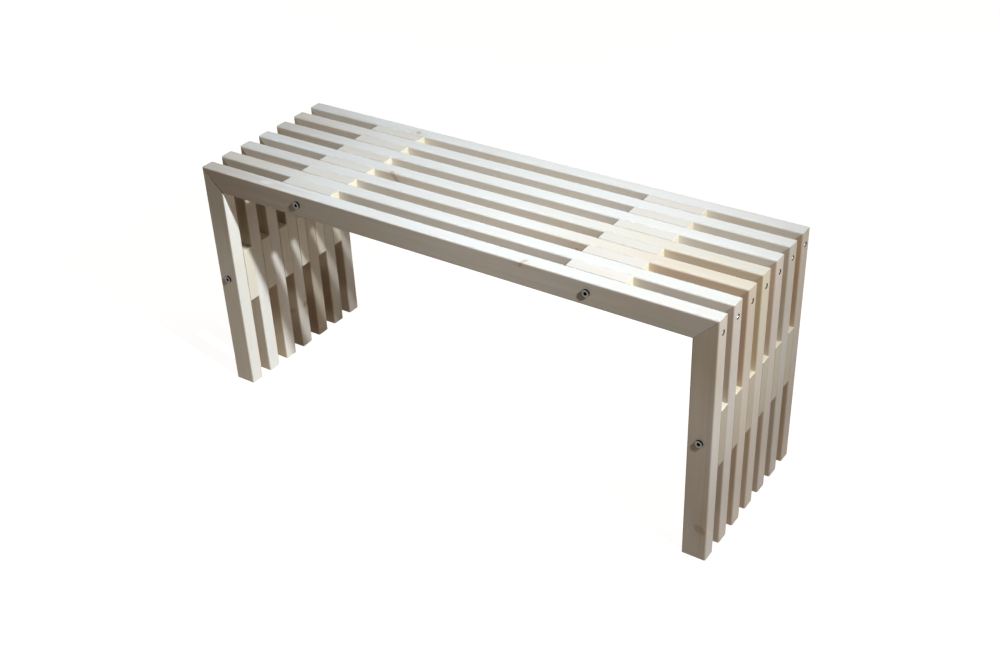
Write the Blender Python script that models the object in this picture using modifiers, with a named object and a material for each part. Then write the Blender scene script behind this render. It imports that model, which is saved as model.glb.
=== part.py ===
"""Slatted outdoor bench: seven mitred U-frames held apart by spacer blocks on four tie rods.

Units are metres. +X runs along the seat, +Y from front to back, +Z up, and the origin lies on the
ground under the middle of the bench.
"""

import math
from collections import namedtuple

import bmesh
import bpy
from mathutils import Vector

# Overall size and layout
BENCH_LENGTH = 1.000
BENCH_HEIGHT = 0.450
FRAME_COUNT = 7

# Planed timber
SLAT_WIDTH = 0.042
SLAT_THICKNESS = 0.027
SLAT_EDGE_ROUND = 0.0025
FOOT_EDGE_ROUND = 0.0010
SPACER_THICKNESS = 0.022
SPACER_LENGTH = 0.105
SPACER_EDGE_ROUND = 0.0008

# Places of the spacers, and how far above their middle the tie rods cross them
SEAT_SPACER_INSET = 0.2175
LEG_SPACER_HEIGHT = 0.225
ROD_RISE = 0.0020

# Tie rods and their sleeve nuts
ROD_DIAMETER = 0.008
ROD_END_CHAMFER = 0.0008
ROD_END_SETBACK = 0.0010
NUT_SLEEVE_WALL = 0.0012
NUT_SLEEVE_SETBACK = 0.0060
NUT_HEAD_DIAMETER = 0.013
NUT_HEAD_THICKNESS = 0.0026
NUT_HEAD_CHAMFER = 0.0005
NUT_SOCKET_ACROSS_FLATS = 0.005
NUT_SOCKET_DEPTH = 0.0045
NUT_SOCKET_FLOOR = 0.0015

# Holes for the screws that close the mitres, driven level through the leg into the end of the seat slat
CORNER_SCREW_DROP = 0.0255
SCREW_HEAD_HOLE_DIAMETER = 0.010
SCREW_HEAD_HOLE_DEPTH = 0.006
SCREW_SHANK_HOLE_DIAMETER = 0.0054
SCREW_PILOT_HOLE_DIAMETER = 0.0034
SCREW_PILOT_HOLE_DEPTH = 0.062

# Clearances
JOINT_GAP = 0.0003
ROD_CLEARANCE = 0.0005
CUT_MARGIN = 0.005

# Facets of round and eased shapes
EDGE_SEGMENTS = 2
ROD_SIDES = 16
SCREW_HOLE_SIDES = 14
SLEEVE_BORE_SIDES = 28
NUT_SIDES = 28
HEX_SIDES = 6

# Finishes
PINE_COLOUR = (0.80, 0.74, 0.65)
PINE_ROUGHNESS = 0.62
SPACER_COLOUR = (0.82, 0.73, 0.58)
SPACER_ROUGHNESS = 0.68
ZINC_COLOUR = (0.62, 0.63, 0.61)
ZINC_ROUGHNESS = 0.38

# Sizes that follow from the ones above
FRAME_PITCH = SLAT_THICKNESS + SPACER_THICKNESS
BENCH_DEPTH = FRAME_COUNT * SLAT_THICKNESS + (FRAME_COUNT - 1) * SPACER_THICKNESS
HALF_LENGTH = BENCH_LENGTH / 2
SEAT_CENTRE_HEIGHT = BENCH_HEIGHT - SLAT_WIDTH / 2
LEG_CENTRE_OFFSET = HALF_LENGTH - SLAT_WIDTH / 2
ROD_BORE_RADIUS = ROD_DIAMETER / 2 + ROD_CLEARANCE
NUT_THREAD_RADIUS = ROD_DIAMETER / 2 + JOINT_GAP
NUT_SLEEVE_RADIUS = NUT_THREAD_RADIUS + NUT_SLEEVE_WALL
SLEEVE_BORE_RADIUS = NUT_SLEEVE_RADIUS + JOINT_GAP
NUT_SEAT = BENCH_DEPTH / 2 + JOINT_GAP
NUT_SLEEVE_LENGTH = SLAT_THICKNESS + JOINT_GAP - NUT_SLEEVE_SETBACK
NUT_THREAD_TOP = NUT_HEAD_THICKNESS - NUT_SOCKET_DEPTH - NUT_SOCKET_FLOOR
ROD_LENGTH = 2 * (NUT_SEAT + NUT_THREAD_TOP - ROD_END_SETBACK)

ALONG_X = Vector((1, 0, 0))
ALONG_Z = Vector((0, 0, 1))
SIDES = (("left", -1), ("right", 1))
FACES = (("front", -1), ("back", 1))

# Where each tie rod crosses the bench, and the height of the spacers on it
RodPlace = namedtuple("RodPlace", "group side x z spacer_z")


def rod_place(group, side_name, x, spacer_z):
    return RodPlace(group, side_name, x, spacer_z + ROD_RISE, spacer_z)


ROD_PLACES = []
for side_name, side in SIDES:
    seat_x = side * (HALF_LENGTH - SEAT_SPACER_INSET)
    ROD_PLACES.append(rod_place("seat", side_name, seat_x, SEAT_CENTRE_HEIGHT))
    ROD_PLACES.append(rod_place("leg", side_name, side * LEG_CENTRE_OFFSET, LEG_SPACER_HEIGHT))


def frame_y(index):
    """Middle of a frame's thickness, counted from 0 at the front."""
    return (index - (FRAME_COUNT - 1) / 2) * FRAME_PITCH


# Scene, collections and materials


def clear_scene():
    for old in list(bpy.data.objects):
        bpy.data.objects.remove(old)


def new_collection(name):
    collection = bpy.data.collections.new(name)
    bpy.context.scene.collection.children.link(collection)
    return collection


def new_material(name, colour, roughness, metallic):
    material = bpy.data.materials.new(name)
    material.use_nodes = True
    shader = material.node_tree.nodes["Principled BSDF"]
    shader.inputs["Base Color"].default_value = (*colour, 1.0)
    shader.inputs["Roughness"].default_value = roughness
    shader.inputs["Metallic"].default_value = metallic
    return material


def new_part(name, mesh, collection, location, material):
    part = bpy.data.objects.new(name, mesh)
    part.location = location
    mesh.materials.append(material)
    collection.objects.link(part)
    return part


def new_cutter(name, mesh, collection, location):
    cutter = bpy.data.objects.new(name, mesh)
    cutter.location = location
    cutter.hide_render = True
    cutter.display_type = "WIRE"
    collection.objects.link(cutter)
    return cutter


def cut(part, cutter):
    boolean = part.modifiers.new("Cut " + cutter.name, "BOOLEAN")
    boolean.operation = "DIFFERENCE"
    boolean.solver = "EXACT"
    boolean.object = cutter


def point_out(obj, face):
    """Turns the object's own +Z to point out of the front or the back of the bench."""
    obj.rotation_euler.x = -face * math.pi / 2


# Timber pieces


def mitre(corner, outward):
    """A point on a saw cut at a frame's outer corner, set back by half the joint gap, and its direction."""
    direction = Vector(outward).normalized()
    return Vector(corner) - direction * JOINT_GAP / 2, direction


def timber_mesh(name, size, grain, mitres=()):
    """A planed stick centred on its origin, sawn at each mitre."""
    shape = bmesh.new()
    bmesh.ops.create_cube(shape, size=1.0)
    bmesh.ops.scale(shape, vec=size, verts=shape.verts)
    for point, direction in mitres:
        sawn = bmesh.ops.bisect_plane(
            shape,
            geom=shape.verts[:] + shape.edges[:] + shape.faces[:],
            plane_co=point,
            plane_no=direction,
            clear_outer=True,
        )
        rim = [item for item in sawn["geom_cut"] if isinstance(item, bmesh.types.BMEdge)]
        bmesh.ops.edgeloop_fill(shape, edges=rim)
    bmesh.ops.recalc_face_normals(shape, faces=shape.faces)

    # The full edge round goes along the grain.
    weight = shape.edges.layers.float.new("bevel_weight_edge")
    for edge in shape.edges:
        run = (edge.verts[1].co - edge.verts[0].co).normalized()
        edge[weight] = 1.0 if abs(run.dot(grain)) > 0.999 else 0.0
    mesh = bpy.data.meshes.new(name)
    shape.to_mesh(mesh)
    shape.free()
    return mesh


def weight_foot_edges(mesh, weight):
    """Marks the edges round the lower end of a leg for a smaller round than its long edges get."""
    floor = min(vertex.co.z for vertex in mesh.vertices)
    weights = mesh.attributes["bevel_weight_edge"].data
    for edge in mesh.edges:
        heights = [mesh.vertices[end].co.z for end in edge.vertices]
        if math.isclose(max(heights), floor, abs_tol=1e-6):
            weights[edge.index].value = weight


def ease_edges(part, radius):
    bevel = part.modifiers.new("Eased edges", "BEVEL")
    bevel.limit_method = "WEIGHT"
    bevel.width = radius
    bevel.segments = EDGE_SEGMENTS


def seat_slat(index, collection, material):
    name = f"seat_slat_{index + 1}"
    size = (BENCH_LENGTH, SLAT_THICKNESS, SLAT_WIDTH)
    mitres = [mitre((side * HALF_LENGTH, 0, SLAT_WIDTH / 2), (side, 0, -1)) for _, side in SIDES]
    mesh = timber_mesh(name, size, ALONG_X, mitres)
    slat = new_part(name, mesh, collection, (0, frame_y(index), SEAT_CENTRE_HEIGHT), material)
    ease_edges(slat, SLAT_EDGE_ROUND)
    return slat


def leg(index, side_name, side, collection, material):
    name = f"{side_name}_leg_{index + 1}"
    size = (SLAT_WIDTH, SLAT_THICKNESS, BENCH_HEIGHT)
    mitres = [mitre((side * SLAT_WIDTH / 2, 0, BENCH_HEIGHT / 2), (-side, 0, 1))]
    mesh = timber_mesh(name, size, ALONG_Z, mitres)
    weight_foot_edges(mesh, FOOT_EDGE_ROUND / SLAT_EDGE_ROUND)
    middle = (side * LEG_CENTRE_OFFSET, frame_y(index), BENCH_HEIGHT / 2)
    stick = new_part(name, mesh, collection, middle, material)
    ease_edges(stick, SLAT_EDGE_ROUND)
    return stick


def spacer(place, index, collection, material):
    """A block that fills the gap behind one frame, with its grain along that frame."""
    name = f"{place.group}_spacer_{place.side}_{index + 1}"
    thickness = SPACER_THICKNESS - 2 * JOINT_GAP
    if place.group == "seat":
        mesh = timber_mesh(name, (SPACER_LENGTH, thickness, SLAT_WIDTH), ALONG_X)
    else:
        mesh = timber_mesh(name, (SLAT_WIDTH, thickness, SPACER_LENGTH), ALONG_Z)
    middle = (place.x, frame_y(index) + FRAME_PITCH / 2, place.spacer_z)
    block = new_part(name, mesh, collection, middle, material)
    ease_edges(block, SPACER_EDGE_ROUND)
    return block


# Round pieces


def cylinder_mesh(name, radius, length, sides):
    """A cylinder along Z, centred on its origin."""
    shape = bmesh.new()
    bmesh.ops.create_cone(
        shape, cap_ends=True, segments=sides, radius1=radius, radius2=radius, depth=length
    )
    mesh = bpy.data.meshes.new(name)
    shape.to_mesh(mesh)
    shape.free()
    return mesh


def profile_mesh(name, profile):
    """Half section of a turned piece: an open chain of edges at +X, from the top down."""
    mesh = bpy.data.meshes.new(name)
    points = [(radius, 0, height) for radius, height in profile]
    mesh.from_pydata(points, [(step, step + 1) for step in range(len(points) - 1)], [])
    return mesh


def turn(obj, sides):
    screw = obj.modifiers.new("Turned", "SCREW")
    screw.steps = sides
    screw.render_steps = sides
    screw.use_merge_vertices = True
    screw.merge_threshold = 0.00001


def tie_rod(place, collection, material):
    name = f"tie_rod_{place.group}_{place.side}"
    mesh = cylinder_mesh(name, ROD_DIAMETER / 2, ROD_LENGTH, ROD_SIDES)
    mesh.shade_smooth()
    mesh.set_sharp_from_angle(angle=math.radians(40))
    rod = new_part(name, mesh, collection, (place.x, 0, place.z), material)
    point_out(rod, 1)
    chamfer = rod.modifiers.new("Chamfered ends", "BEVEL")
    chamfer.limit_method = "ANGLE"
    chamfer.angle_limit = math.radians(60)
    chamfer.width = ROD_END_CHAMFER
    chamfer.segments = 1


def sleeve_nut(place, face_name, face, collection, cutters, material):
    """A nut whose sleeve closes on the rod inside an outer slat. Its flat head stands on the slat's face."""
    name = f"{face_name}_nut_{place.group}_{place.side}"
    head_radius = NUT_HEAD_DIAMETER / 2
    # Heights count from the underside of the head.
    profile = [
        (0, NUT_HEAD_THICKNESS),
        (head_radius - NUT_HEAD_CHAMFER, NUT_HEAD_THICKNESS),
        (head_radius, NUT_HEAD_THICKNESS - NUT_HEAD_CHAMFER),
        (head_radius, 0),
        (NUT_SLEEVE_RADIUS, 0),
        (NUT_SLEEVE_RADIUS, -NUT_SLEEVE_LENGTH),
        (NUT_THREAD_RADIUS, -NUT_SLEEVE_LENGTH),
        (NUT_THREAD_RADIUS, NUT_THREAD_TOP),
        (0, NUT_THREAD_TOP),
    ]
    nut_middle = (place.x, face * NUT_SEAT, place.z)
    nut = new_part(name, profile_mesh(name, profile), collection, nut_middle, material)
    point_out(nut, face)
    turn(nut, NUT_SIDES)

    key_name = name + "_socket"
    corner_radius = NUT_SOCKET_ACROSS_FLATS / 2 / math.cos(math.pi / HEX_SIDES)
    key_length = NUT_SOCKET_DEPTH + CUT_MARGIN
    key_y = NUT_SEAT + NUT_HEAD_THICKNESS - NUT_SOCKET_DEPTH + key_length / 2
    key_mesh = cylinder_mesh(key_name, corner_radius, key_length, HEX_SIDES)
    key = new_cutter(key_name, key_mesh, cutters, (place.x, face * key_y, place.z))
    point_out(key, face)
    cut(nut, key)


# Holes


def rod_bore(place, cutters):
    """One straight drill path through every frame and spacer on a rod."""
    name = f"rod_bore_{place.group}_{place.side}"
    mesh = cylinder_mesh(name, ROD_BORE_RADIUS, BENCH_DEPTH + 2 * CUT_MARGIN, ROD_SIDES)
    bore = new_cutter(name, mesh, cutters, (place.x, 0, place.z))
    point_out(bore, 1)
    return bore


def sleeve_bore(place, face_name, face, cutters):
    """The wider hole for a nut's sleeve, through an outer slat."""
    name = f"sleeve_bore_{face_name}_{place.group}_{place.side}"
    mesh = cylinder_mesh(name, SLEEVE_BORE_RADIUS, SLAT_THICKNESS + 2 * CUT_MARGIN, SLEEVE_BORE_SIDES)
    middle = (place.x, face * (BENCH_DEPTH - SLAT_THICKNESS) / 2, place.z)
    bore = new_cutter(name, mesh, cutters, middle)
    point_out(bore, face)
    return bore


def corner_screw_hole(index, side_name, side, cutters):
    """Stepped hole for a mitre's screw: its sunk head, its shank as far as the mitre, then its pilot."""
    name = f"corner_screw_hole_{side_name}_{index + 1}"
    # Heights count outwards from the leg's outer face. The mitre is as deep there as the screw is low.
    profile = [
        (0, CUT_MARGIN),
        (SCREW_HEAD_HOLE_DIAMETER / 2, CUT_MARGIN),
        (SCREW_HEAD_HOLE_DIAMETER / 2, -SCREW_HEAD_HOLE_DEPTH),
        (SCREW_SHANK_HOLE_DIAMETER / 2, -SCREW_HEAD_HOLE_DEPTH),
        (SCREW_SHANK_HOLE_DIAMETER / 2, -CORNER_SCREW_DROP),
        (SCREW_PILOT_HOLE_DIAMETER / 2, -CORNER_SCREW_DROP),
        (SCREW_PILOT_HOLE_DIAMETER / 2, -SCREW_PILOT_HOLE_DEPTH),
        (0, -SCREW_PILOT_HOLE_DEPTH),
    ]
    mouth = (side * HALF_LENGTH, frame_y(index), BENCH_HEIGHT - CORNER_SCREW_DROP)
    hole = new_cutter(name, profile_mesh(name, profile), cutters, mouth)
    hole.rotation_euler.y = side * math.pi / 2
    turn(hole, SCREW_HOLE_SIDES)
    return hole


# Assembly


def build_frames(parts, cutters, bores, material):
    """The mitred frames, with a wide bore for each nut in the outer two and a rod's bore in the others."""
    drills = {}
    for place, bore in bores.items():
        front, back = [sleeve_bore(place, face_name, face, cutters) for face_name, face in FACES]
        drills[place.group, place.side] = [front] + [bore] * (FRAME_COUNT - 2) + [back]
    for index in range(FRAME_COUNT):
        slat = seat_slat(index, parts, material)
        for side_name, side in SIDES:
            cut(slat, drills["seat", side_name][index])
            stick = leg(index, side_name, side, parts, material)
            cut(stick, drills["leg", side_name][index])
            screw_hole = corner_screw_hole(index, side_name, side, cutters)
            cut(stick, screw_hole)
            cut(slat, screw_hole)


def build_spacers(parts, bores, material):
    for place, bore in bores.items():
        for index in range(FRAME_COUNT - 1):
            cut(spacer(place, index, parts, material), bore)


def build_tie_rods(parts, cutters, material):
    for place in ROD_PLACES:
        tie_rod(place, parts, material)
        for face_name, face in FACES:
            sleeve_nut(place, face_name, face, parts, cutters, material)


def main():
    clear_scene()
    parts = new_collection("slatted_outdoor_bench")
    cutters = new_collection("cutters")
    pine = new_material("planed_pine", PINE_COLOUR, PINE_ROUGHNESS, 0.0)
    spacer_pine = new_material("spacer_pine", SPACER_COLOUR, SPACER_ROUGHNESS, 0.0)
    zinc = new_material("zinc_plated_steel", ZINC_COLOUR, ZINC_ROUGHNESS, 1.0)
    bores = {place: rod_bore(place, cutters) for place in ROD_PLACES}
    build_frames(parts, cutters, bores, pine)
    build_spacers(parts, bores, spacer_pine)
    build_tie_rods(parts, cutters, zinc)


main()
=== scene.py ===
"""Dresses the slatted outdoor bench: limed pine frames and spacers, tie rods, sleeve nuts and screws.

Laid out as an add-on. Units are metres, in the frame of the solids: +X runs along the seat, +Y from
front to back, +Z up, and the origin lies on the ground under the middle of the bench.
"""

import math
import random
from collections import namedtuple

import bmesh
import bpy
import numpy as np
from bpy.props import FloatProperty, FloatVectorProperty, IntProperty, PointerProperty
from mathutils import Matrix, Vector


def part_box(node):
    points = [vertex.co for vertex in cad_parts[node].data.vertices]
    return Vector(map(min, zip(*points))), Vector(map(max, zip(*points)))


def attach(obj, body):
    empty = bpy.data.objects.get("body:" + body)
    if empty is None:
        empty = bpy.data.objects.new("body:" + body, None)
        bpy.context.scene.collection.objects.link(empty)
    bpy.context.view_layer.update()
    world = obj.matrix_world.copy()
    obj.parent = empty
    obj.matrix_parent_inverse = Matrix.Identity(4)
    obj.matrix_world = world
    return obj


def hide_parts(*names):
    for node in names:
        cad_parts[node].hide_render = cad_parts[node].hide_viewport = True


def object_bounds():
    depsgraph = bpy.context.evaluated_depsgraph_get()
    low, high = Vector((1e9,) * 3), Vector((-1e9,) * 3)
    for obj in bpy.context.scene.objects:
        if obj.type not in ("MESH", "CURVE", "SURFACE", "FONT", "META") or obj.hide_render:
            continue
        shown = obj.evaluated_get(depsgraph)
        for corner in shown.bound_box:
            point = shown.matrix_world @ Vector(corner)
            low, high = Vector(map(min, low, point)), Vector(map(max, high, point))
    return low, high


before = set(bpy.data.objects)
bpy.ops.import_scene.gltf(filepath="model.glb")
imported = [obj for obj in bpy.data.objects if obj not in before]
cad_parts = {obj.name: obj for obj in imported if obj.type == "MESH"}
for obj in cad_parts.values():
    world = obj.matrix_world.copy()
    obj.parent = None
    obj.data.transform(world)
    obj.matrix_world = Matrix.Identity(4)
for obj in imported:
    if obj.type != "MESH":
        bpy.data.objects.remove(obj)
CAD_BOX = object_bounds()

bl_info = {
    "name": "Slatted outdoor bench",
    "version": (1, 0, 0),
    "blender": (4, 5, 0),
    "location": "3D View > Sidebar > Bench",
    "description": "Builds the finished pieces of a slatted pine bench and a white stage to show them on",
    "category": "Add Mesh",
}

BODY = "root"

FRAME_COUNT = 7
SIDES = (("left", -1), ("right", 1))
FACES = (("front", -1), ("back", 1))
GROUPS = ("seat", "leg")

# Each tie rod with its nuts and spacers is a row.
ROWS = [f"{group}_{side_name}" for group in GROUPS for side_name, _ in SIDES]

# Facets of the meshes
END_RINGS = 4
RINGS_PER_PITCH = 6
SHOULDER_STEPS = 4
HOLE_SIDES = 48
ROD_SIDES = 14
NUT_SIDES = 64
SCREW_SIDES = 40
HEX_SIDES = 6
SHARP_ANGLE = math.radians(38)
WELD_DISTANCE = 1e-6


def node_size(node):
    low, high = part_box(node)
    return high - low


def node_middle(node):
    low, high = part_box(node)
    return (low + high) / 2


_, SLAT_THICKNESS, SLAT_WIDTH = node_size("seat_slat_1")
SPACER_LENGTH, _, SPACER_WIDTH = node_size("seat_spacer_left_1")
LEG_LENGTH = node_size("left_leg_1").z
ROD_SIZE = node_size("tie_rod_seat_left")
NUT_SIZE = node_size("front_nut_seat_left")
FRAME_PITCH = node_middle("seat_slat_2").y - node_middle("seat_slat_1").y
FRAME_SPACE = FRAME_PITCH - SLAT_THICKNESS
HALF_LENGTH = CAD_BOX[1].x
HALF_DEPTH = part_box("seat_slat_7")[1].y
SEAT_HEIGHT = CAD_BOX[1].z


# Properties that a user would change


def size(name, description, default):
    return FloatProperty(
        name=name, description=description, default=default, min=0.0, unit="LENGTH", precision=4
    )


def share(name, description, default):
    return FloatProperty(
        name=name, description=description, default=default, min=0.0, max=1.0, subtype="FACTOR"
    )


def power(name, description, default):
    return FloatProperty(name=name, description=description, default=default, min=0.0, unit="POWER")


def whole(name, description, default):
    return IntProperty(name=name, description=description, default=default, min=1)


def colour(name, description, default):
    return FloatVectorProperty(
        name=name, description=description, default=default, min=0.0, max=1.0, size=3, subtype="COLOR"
    )


def point(name, description, default):
    return FloatVectorProperty(
        name=name, description=description, default=default, size=3, subtype="TRANSLATION", unit="LENGTH"
    )


def angle(name, description, degrees):
    return FloatProperty(
        name=name, description=description, default=math.radians(degrees), subtype="ANGLE", unit="ROTATION"
    )


class BenchTimber(bpy.types.PropertyGroup):
    """Sizes of the planed timber."""

    arris_round: size("Arris round", "Radius along the edges of slats and legs", 0.0027)
    foot_round: size("Foot round", "Radius round the foot of a leg", 0.0010)
    mitre_round: size("Mitre round", "Radius round a sawn mitre", 0.0002)
    open_mitre_round: size("Open mitre round", "Radius round the mitre that has opened", 0.0002)
    mitre_gap: size("Mitre gap", "Space between the two halves of a mitre", 0.0001)
    open_mitre_gap: size("Open mitre gap", "Space in the mitre that has opened, at the corner", 0.0008)
    spacer_round: size("Spacer round", "Radius along and round the edges of a spacer", 0.0004)
    spacer_drop: size("Spacer drop", "Most that a spacer sits below the face of its frames", 0.0003)
    spacer_gap: size("Spacer gap", "Space between a spacer and a frame", 0.00005)
    arris_segments: whole("Arris segments", "Facets in a rounded edge", 5)
    seed: whole("Seed", "Seed of the boards' grain and of the spacers' places", 11)


class BenchSteel(bpy.types.PropertyGroup):
    """Sizes of the rods, nuts, screws and the holes they sit in."""

    thread_pitch: size("Thread pitch", "Pitch of the tie rods' thread", 0.00125)
    thread_depth: size("Thread depth", "Depth of the tie rods' thread", 0.0006)
    rod_bore: size("Rod bore", "Diameter of the hole for a tie rod", 0.0090)
    sleeve_bore: size("Sleeve bore", "Diameter of the hole for a nut's sleeve", 0.0116)
    nut_head: size("Nut head", "Thickness of a nut's head", 0.0033)
    nut_gap: size("Nut gap", "Space between a nut's head and the frame", 0.0001)
    nut_head_round: size("Nut head round", "Radius round the face of a nut's head", 0.0005)
    nut_edge: size("Nut edge", "Bevel on the nut's other edges", 0.0002)
    nut_sleeve: size("Nut sleeve", "Outer diameter of a nut's sleeve", 0.0110)
    nut_thread: size("Nut thread", "Diameter of the threaded hole in a nut", 0.0086)
    nut_socket: size("Nut socket", "Size across the flats of a nut's hexagon socket", 0.0060)
    nut_socket_depth: size("Nut socket depth", "Depth of a nut's hexagon socket", 0.0045)
    nut_socket_floor: size("Nut socket floor", "Steel between a nut's socket and its thread", 0.0015)
    screw_drop: size("Screw drop", "Height from a corner screw up to the seat", 0.0255)
    screw_hole: size("Screw hole", "Diameter of the hole for a corner screw's head", 0.0096)
    screw_hole_depth: size("Screw hole depth", "Depth of the hole for a corner screw's head", 0.0060)
    screw_shank_hole: size("Screw shank hole", "Diameter of the hole for a corner screw's shank", 0.0054)
    screw_pilot: size("Screw pilot", "Diameter of the pilot hole in the seat slat", 0.0034)
    screw_pilot_depth: size("Screw pilot depth", "Depth of the pilot hole from the leg's face", 0.0620)
    screw_head: size("Screw head", "Diameter of a corner screw's head", 0.0074)
    screw_sunk: size("Screw sunk", "Depth of a corner screw's head below the leg's face", 0.0010)
    screw_length: size("Screw length", "Length of a corner screw", 0.0580)


class BenchFinish(bpy.types.PropertyGroup):
    """Colours of the finishes, with painted shade, painted light and painted reflection among them."""

    lime: colour("Lime", "Pale wash on the timber", (0.83, 0.85, 0.85))
    wood: colour("Wood", "Spring growth under the wash", (0.66, 0.51, 0.335))
    latewood: colour("Latewood", "Dark line of a growth ring", (0.60, 0.455, 0.29))
    sawn: colour("Sawn wood", "Bare wood at a sawn end", (0.79, 0.755, 0.61))
    # Lighter than the other sawn ends: painted light on the upper ends of the leg spacers.
    painted_light_sawn: colour("Fresh sawn wood", "Bare wood at the ends of the leg spacers", (0.98, 0.94, 0.81))
    # Near black, far darker than bare pine: painted shade on the walls of the holes and in the opened mitre.
    painted_hollow_shade: colour("Bored wood", "Wall of a drilled hole", (0.10, 0.080, 0.062))
    knot: colour("Knot", "What a knot takes off the colour", (0.42, 0.33, 0.27))
    cream: colour("Cream", "Tint of the yellower boards", (1.0, 0.94, 0.74))
    rose: colour("Rose", "Tint of the pinker boards", (1.0, 0.87, 0.83))
    # Painted shade, not weathering: the third share of the tints darkens boards where less light falls on
    # them.
    shade: colour("Shade", "Tint of the more weathered wood", (0.56, 0.51, 0.46))
    # Set far darker than bright plating: in part a painted reflection, so the nuts' faces show grey as if
    # they mirrored a dark room.
    zinc: colour("Zinc", "Plating of nuts and rods", (0.20, 0.20, 0.19))
    # Near black: painted shade in the nuts' sockets and a painted dark reflection on the sides of their
    # heads.
    socket: colour("Socket", "Blackened side and socket of a nut", (0.006, 0.006, 0.005))
    screw: colour("Screw", "Plating of the corner screws", (0.82, 0.81, 0.77))
    edge_wash: share("Edge wash", "How far the wash hides the wood on the frames' narrow edges", 0.96)
    side_wash: share("Side wash", "How far the wash hides the wood on the frames' wide sides", 0.58)
    spacer_wash: share("Spacer wash", "How far the wash hides the wood of the spacers", 0.86)


class BenchStage(bpy.types.PropertyGroup):
    """Camera, lamps, even light and floor."""

    eye: point("Eye", "Place of the camera", (1.150, -1.633, 1.473))
    azimuth: angle("Azimuth", "Turn of the camera about the vertical", 34.879)
    elevation: angle("Elevation", "Angle of the camera above the horizon", 33.024)
    roll: angle("Roll", "Turn of the camera about its own axis", -2.4225)
    lens: FloatProperty(name="Lens", description="Focal length in millimetres", default=48.378, unit="CAMERA")
    lamp: point("Lamp", "Place of the lamp", (1.58, -0.56, 1.77))
    lamp_aim: point("Lamp aim", "Point that the lamp is turned to", (-0.58, -0.25, 0.25))
    lamp_radius: size("Lamp radius", "Radius of the lamp", 0.050)
    lamp_beam: angle("Lamp beam", "Opening of the lamp's beam", 57.5)
    lamp_power: power("Lamp power", "Power of the lamp", 276.0)
    lamp_colour: colour("Lamp colour", "Colour of the lamp", (0.90, 0.96, 1.0))
    soft_size: size("Soft lamp size", "Length of the soft lamps' sides", 1.20)
    fill: point("Fill", "Place of the soft lamp behind", (0.90, 1.30, 1.90))
    fill_aim: point("Fill aim", "Point that the soft lamp behind is turned to", (0.20, 0.0, 0.30))
    fill_power: power("Fill power", "Power of the soft lamp behind", 15.0)
    fill_colour: colour("Fill colour", "Colour of the soft lamp behind", (1.0, 0.94, 0.89))
    side: point("Side", "Place of the soft lamp at the right", (1.97, -0.47, 0.45))
    side_aim: point("Side aim", "Point that the right soft lamp is turned to", (0.0, -0.10, 0.20))
    side_power: power("Side power", "Power of the right soft lamp", 4.2)
    side_colour: colour("Side colour", "Colour of the right soft lamp", (1.0, 0.81, 0.67))
    sky: FloatProperty(name="Sky", description="Strength of the even light", default=0.005, min=0.0)
    sky_colour: colour("Sky colour", "Colour of the even light", (1.0, 0.84, 0.66))
    floor: colour("Floor", "Colour of the floor", (0.40, 0.30, 0.20))
    floor_glow: share("Floor glow", "How white the floor is in its shadows", 0.95)
    floor_size: size("Floor size", "Length of the floor's sides", 12.0)


# Node trees


class Value:
    """A node's output. The signs for sums and products make the maths nodes that work on it."""

    def __init__(self, socket):
        self.socket = socket
        self.tree = socket.id_data

    def __add__(self, other):
        return maths("ADD", self, other)

    def __sub__(self, other):
        return maths("SUBTRACT", self, other)

    def __rsub__(self, other):
        return maths("SUBTRACT", other, self)

    def __mul__(self, other):
        return maths("MULTIPLY", self, other)

    def __truediv__(self, other):
        return maths("DIVIDE", self, other)


def add_node(tree, kind, inputs=(), **settings):
    """Adds a node. Its inputs go by name or number, and each is a constant or a Value."""
    node = tree.nodes.new(kind)
    for name, setting in settings.items():
        setattr(node, name, setting)
    for key, given in dict(inputs).items():
        if isinstance(given, Value):
            tree.links.new(given.socket, node.inputs[key])
        else:
            node.inputs[key].default_value = given
    return node


def put(tree, kind, inputs=(), output=0, **settings):
    """Adds a node and gives one of its outputs."""
    return Value(add_node(tree, kind, inputs, **settings).outputs[output])


def send(inputs, values):
    """Links values to inputs by their names."""
    for name, value in values.items():
        value.tree.links.new(value.socket, inputs[name])


def tree_of(*values):
    return next(value.tree for value in values if isinstance(value, Value))


def maths(operation, *values):
    return put(tree_of(*values), "ShaderNodeMath", enumerate(values), operation=operation)


def vector_maths(operation, *values, output="Vector"):
    return put(tree_of(*values), "ShaderNodeVectorMath", enumerate(values), output, operation=operation)


def split(vector):
    return [Value(part) for part in add_node(vector.tree, "ShaderNodeSeparateXYZ", {0: vector}).outputs]


def join(x, y, z):
    return put(tree_of(x, y, z), "ShaderNodeCombineXYZ", {"X": x, "Y": y, "Z": z})


def ease(value, low, high, start=0.0, end=1.0):
    """Goes smoothly from start to end as the value goes from low to high, and stays there."""
    inputs = {"Value": value, "From Min": low, "From Max": high, "To Min": start, "To Max": end}
    return put(value.tree, "ShaderNodeMapRange", inputs, interpolation_type="SMOOTHSTEP")


def spread(value, low, high):
    """Takes a value between 0 and 1 to one between low and high."""
    return put(value.tree, "ShaderNodeMapRange", {"Value": value, "To Min": low, "To Max": high})


def blend(factor, first, second, mode="MIX"):
    inputs = {0: factor, 6: first, 7: second}
    return put(factor.tree, "ShaderNodeMix", inputs, 2, data_type="RGBA", blend_type=mode)


def blend_vectors(factor, first, second):
    return put(factor.tree, "ShaderNodeMix", {0: factor, 4: first, 5: second}, 1, data_type="VECTOR")


def noise(vector, stretch, seed, detail=2.0):
    """Noise whose cells are as many to the metre along each axis as stretch says."""
    stretched = vector_maths("MULTIPLY", vector, stretch)
    inputs = {"Vector": stretched, "W": seed, "Scale": 1.0, "Detail": detail}
    return put(vector.tree, "ShaderNodeTexNoise", inputs, noise_dimensions="4D")


def sockets(**labels):
    """The types of a group's sockets by their labels, from the labels of each type."""
    return {label: kind for kind, names in labels.items() for label in names.split(", ")}


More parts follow.
